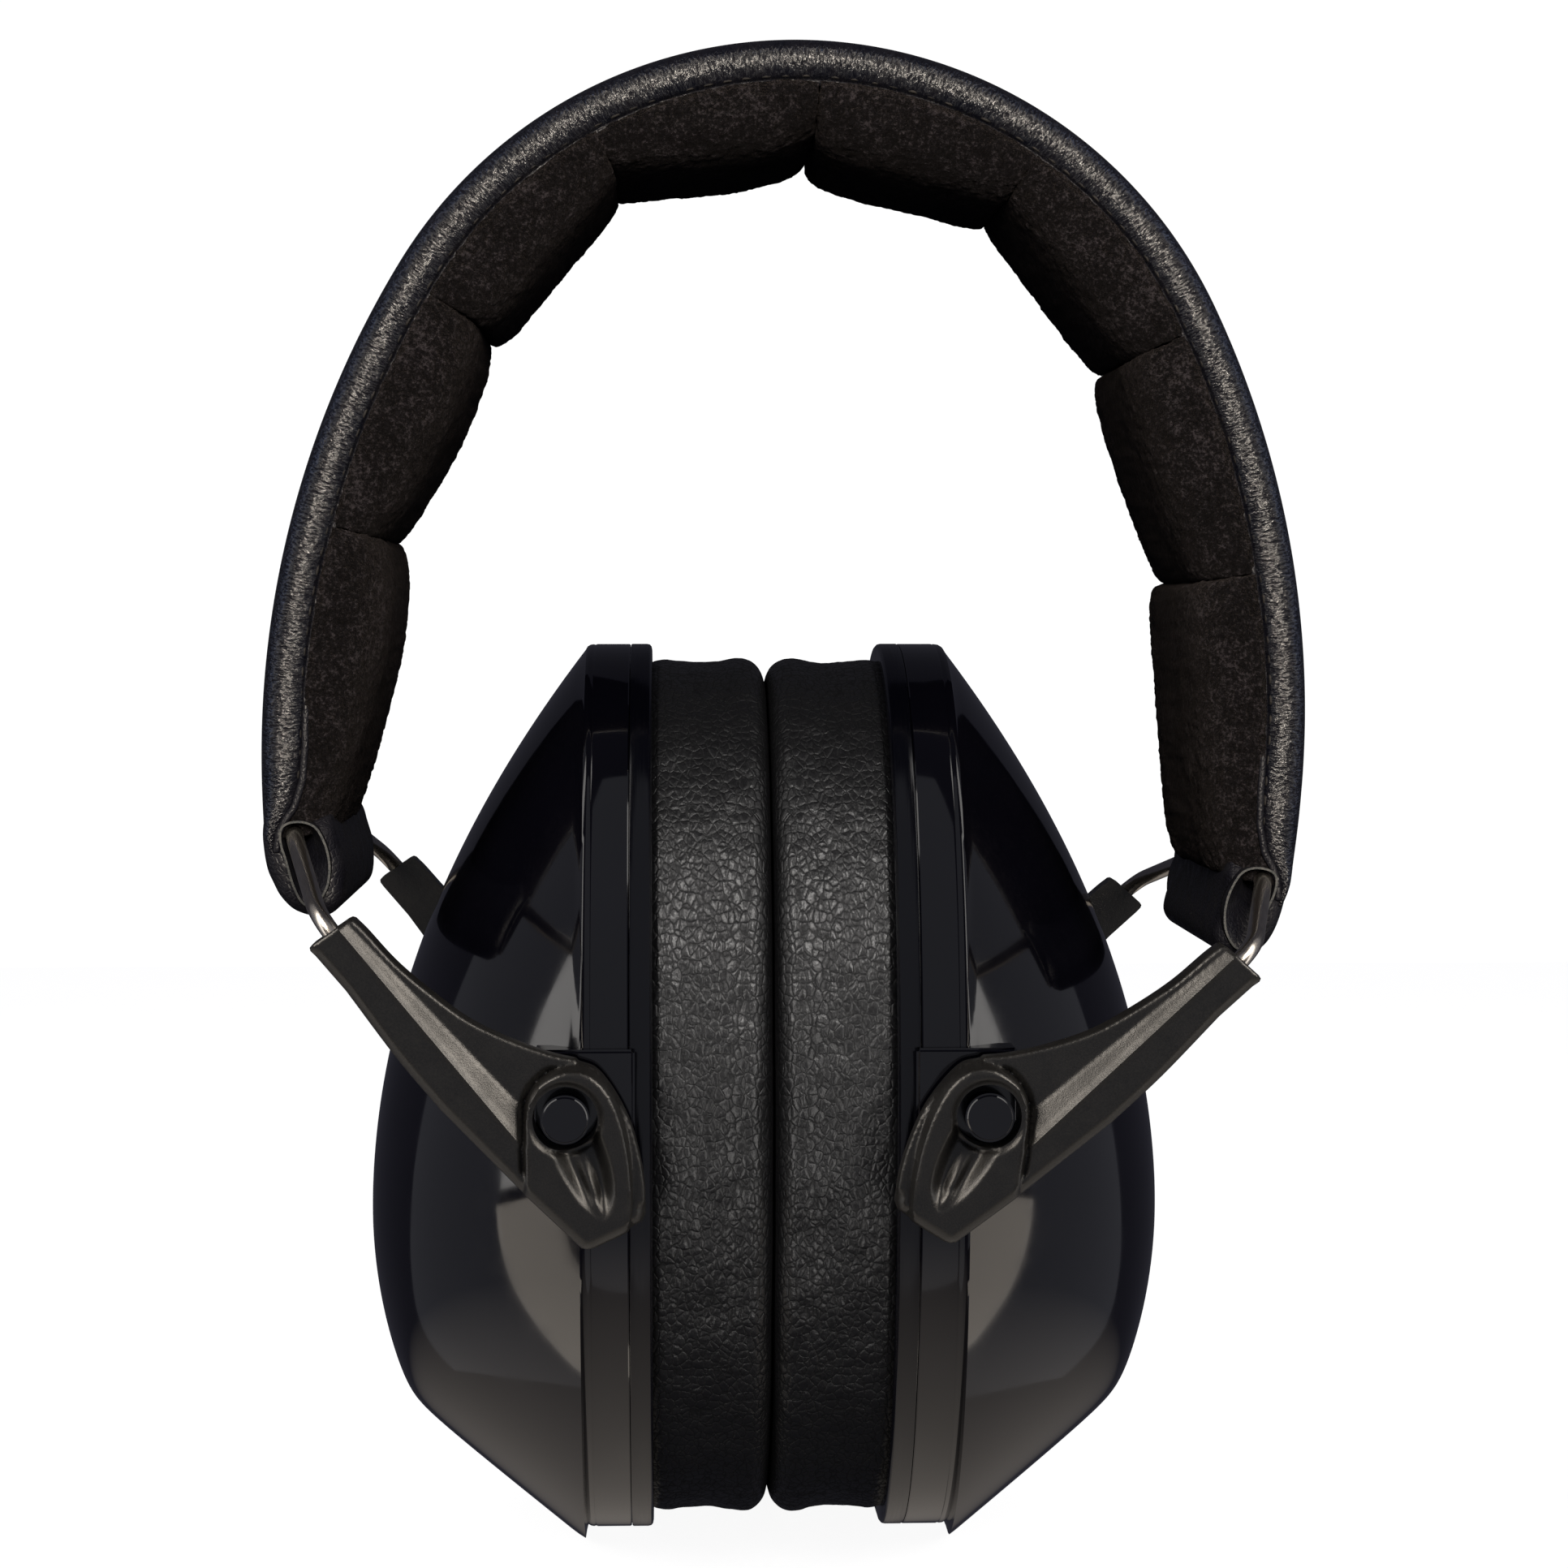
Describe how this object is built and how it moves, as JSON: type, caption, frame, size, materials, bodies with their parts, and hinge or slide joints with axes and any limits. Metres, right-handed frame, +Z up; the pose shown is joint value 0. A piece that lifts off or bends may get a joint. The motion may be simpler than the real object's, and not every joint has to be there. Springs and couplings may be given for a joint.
{
  "type": "earmuff hearing protector",
  "caption": "Child-size over-ear hearing protector: padded leatherette headband, wire bails in sliding plastic arms, and tilting gloss ear cups with soft cushions.",
  "frame": {"origin": "middle of the footprint's bounding box, on the surface that the cups stand on", "axes": "+Z up from the cups' feet to the headband's crown, +X to the right as seen from the front, +Y to the back across the band's width"},
  "size_m": [0.1148, 0.0926, 0.1652],
  "materials": {
    "cover": "fine-grained black leatherette",
    "lining": "short black plush",
    "tab": "smooth black leatherette with raw edges",
    "strip": "spring steel",
    "wire": "bright drawn steel wire",
    "arm": "satin charcoal plastic",
    "shell": "high-gloss blue-black plastic",
    "ring": "gloss black plastic",
    "cushion": "pebbled black leatherette",
    "foam": "open-cell grey foam"
  },
  "bodies": {
    "crown": {"crown_cover": "cover", "crown_spring_strip": "strip", "lining_pad_3": "lining", "lining_pad_4": "lining", "lining_pad_5": "lining", "lining_pad_6": "lining"},
    "left_flank": {"left_cover": "cover", "left_spring_strip": "strip", "left_end_tab": "tab", "lining_pad_1": "lining", "lining_pad_2": "lining"},
    "left_bail": {"left_bail": "wire"},
    "left_arms": {"left_front_arm": "arm", "left_rear_arm": "arm"},
    "left_cup": {"left_cup_shell": "shell", "left_seat_ring": "ring", "left_cushion": "cushion", "left_cushion_foam": "foam", "left_absorber": "foam"},
    "right_flank": {"right_cover": "cover", "right_spring_strip": "strip", "right_end_tab": "tab", "lining_pad_7": "lining", "lining_pad_8": "lining"},
    "right_bail": {"right_bail": "wire"},
    "right_arms": {"right_front_arm": "arm", "right_rear_arm": "arm"},
    "right_cup": {"right_cup_shell": "shell", "right_seat_ring": "ring", "right_cushion": "cushion", "right_cushion_foam": "foam", "right_absorber": "foam"}
  },
  "joints": [
    {"name": "left_spread", "type": "hinge", "parent": "crown", "child": "left_flank", "pos_m": [-0.04282, 0, 0.13988], "axis": [0, 1, 0], "range_deg": [0, 30], "stiffness_Nm_per_rad": 1.2},
    {"name": "right_spread", "type": "hinge", "parent": "crown", "child": "right_flank", "pos_m": [0.04775, 0, 0.13529], "axis": [0, -1, 0], "range_deg": [0, 30], "stiffness_Nm_per_rad": 1.2},
    {"name": "left_bail_swing", "type": "hinge", "parent": "left_flank", "child": "left_bail", "pos_m": [-0.05331, 0, 0.07959], "axis": [0, 1, 0], "range_deg": [0, 40]},
    {"name": "left_arm_slide", "type": "slide", "parent": "left_bail", "child": "left_arms", "axis": [0.6428, 0, -0.766], "range_m": [0, 0.012]},
    {"name": "left_cup_tilt", "type": "hinge", "parent": "left_arms", "child": "left_cup", "pos_m": [-0.02335, 0, 0.052], "axis": [0, -1, 0], "range_deg": [-10, 10], "deforming": ["left_cushion", "left_cushion_foam"]},
    {"name": "right_bail_swing", "type": "hinge", "parent": "right_flank", "child": "right_bail", "pos_m": [0.05209, 0, 0.07425], "axis": [0, -1, 0], "range_deg": [0, 40]},
    {"name": "right_arm_slide", "type": "slide", "parent": "right_bail", "child": "right_arms", "axis": [-0.7373, 0, -0.6756], "range_m": [0, 0.012]},
    {"name": "right_cup_tilt", "type": "hinge", "parent": "right_arms", "child": "right_cup", "pos_m": [0.01965, 0, 0.052], "axis": [0, 1, 0], "range_deg": [-10, 10], "deforming": ["right_cushion", "right_cushion_foam"]}
  ],
  "couplings": [
    {"joint": "right_spread", "follows": "left_spread", "ratio": 1}
  ]
}
